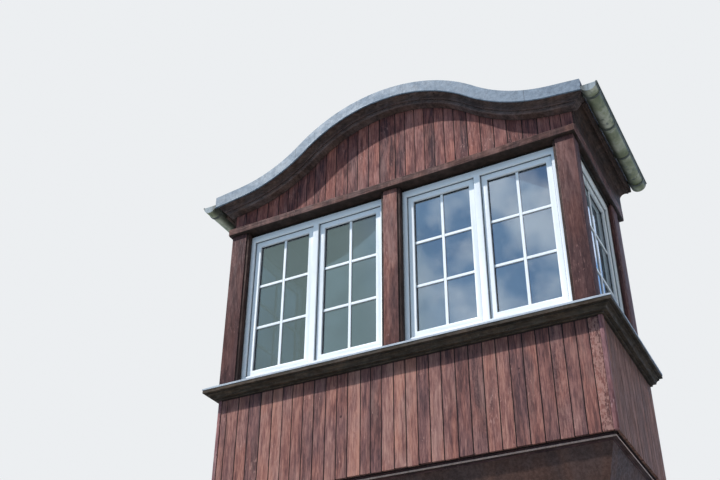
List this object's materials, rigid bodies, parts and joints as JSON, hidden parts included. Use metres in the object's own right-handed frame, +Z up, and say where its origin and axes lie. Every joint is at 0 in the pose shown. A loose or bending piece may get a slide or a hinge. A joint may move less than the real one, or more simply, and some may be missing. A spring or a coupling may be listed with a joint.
{
  "type": "bay window",
  "caption": "Timber bay window with boarded apron, white casements on three sides and a swan-neck zinc roof, held by the wall behind it.",
  "frame": {"origin": "middle of the floor deck's back face, on the plane of the wall that holds the bay", "axes": "+Z up, +X to the right for someone who faces the bay from outside, +Y into the wall"},
  "size_m": [4.0766, 1.645, 4.2715],
  "materials": {
    "stained_boards": "weathered red-brown stain, matt",
    "dark_stained_wood": "dark brown stain, matt",
    "zinc": "dull weathered zinc",
    "white_frames": "white, satin",
    "glass": "clear sealed panes"
  },
  "bodies": {
    "root": {"base_plate": "dark_stained_wood", "base_skirt": "dark_stained_wood", "base_ring": "dark_stained_wood", "floor_deck": "dark_stained_wood", "apron_front": "stained_boards", "apron_left": "stained_boards", "apron_right": "stained_boards", "sill_cornice": "dark_stained_wood", "sill_cover": "zinc", "corner_post_left": "stained_boards", "corner_post_right": "stained_boards", "centre_post": "stained_boards", "wall_post_left": "stained_boards", "wall_post_right": "stained_boards", "front_left_frame": "white_frames", "front_left_sashes": "white_frames", "front_left_panes": "glass", "front_right_frame": "white_frames", "front_right_sashes": "white_frames", "front_right_panes": "glass", "side_left_frame": "white_frames", "side_left_sash": "white_frames", "side_left_pane": "glass", "side_right_frame": "white_frames", "side_right_sash": "white_frames", "side_right_pane": "glass", "header_beam": "dark_stained_wood", "header_moulding": "stained_boards", "gable_panel": "stained_boards", "fascia_crown": "dark_stained_wood", "fascia_left": "dark_stained_wood", "fascia_right": "dark_stained_wood", "verge_crown": "zinc", "verge_left": "zinc", "verge_right": "zinc", "frieze_left": "stained_boards", "frieze_right": "stained_boards", "eaves_mould_left": "dark_stained_wood", "eaves_mould_right": "dark_stained_wood", "roof_deck": "dark_stained_wood", "roof_zinc": "zinc", "gutter_left": "zinc", "gutter_right": "zinc", "gutter_brackets_left": "zinc", "gutter_brackets_right": "zinc"}
  },
  "joints": []
}
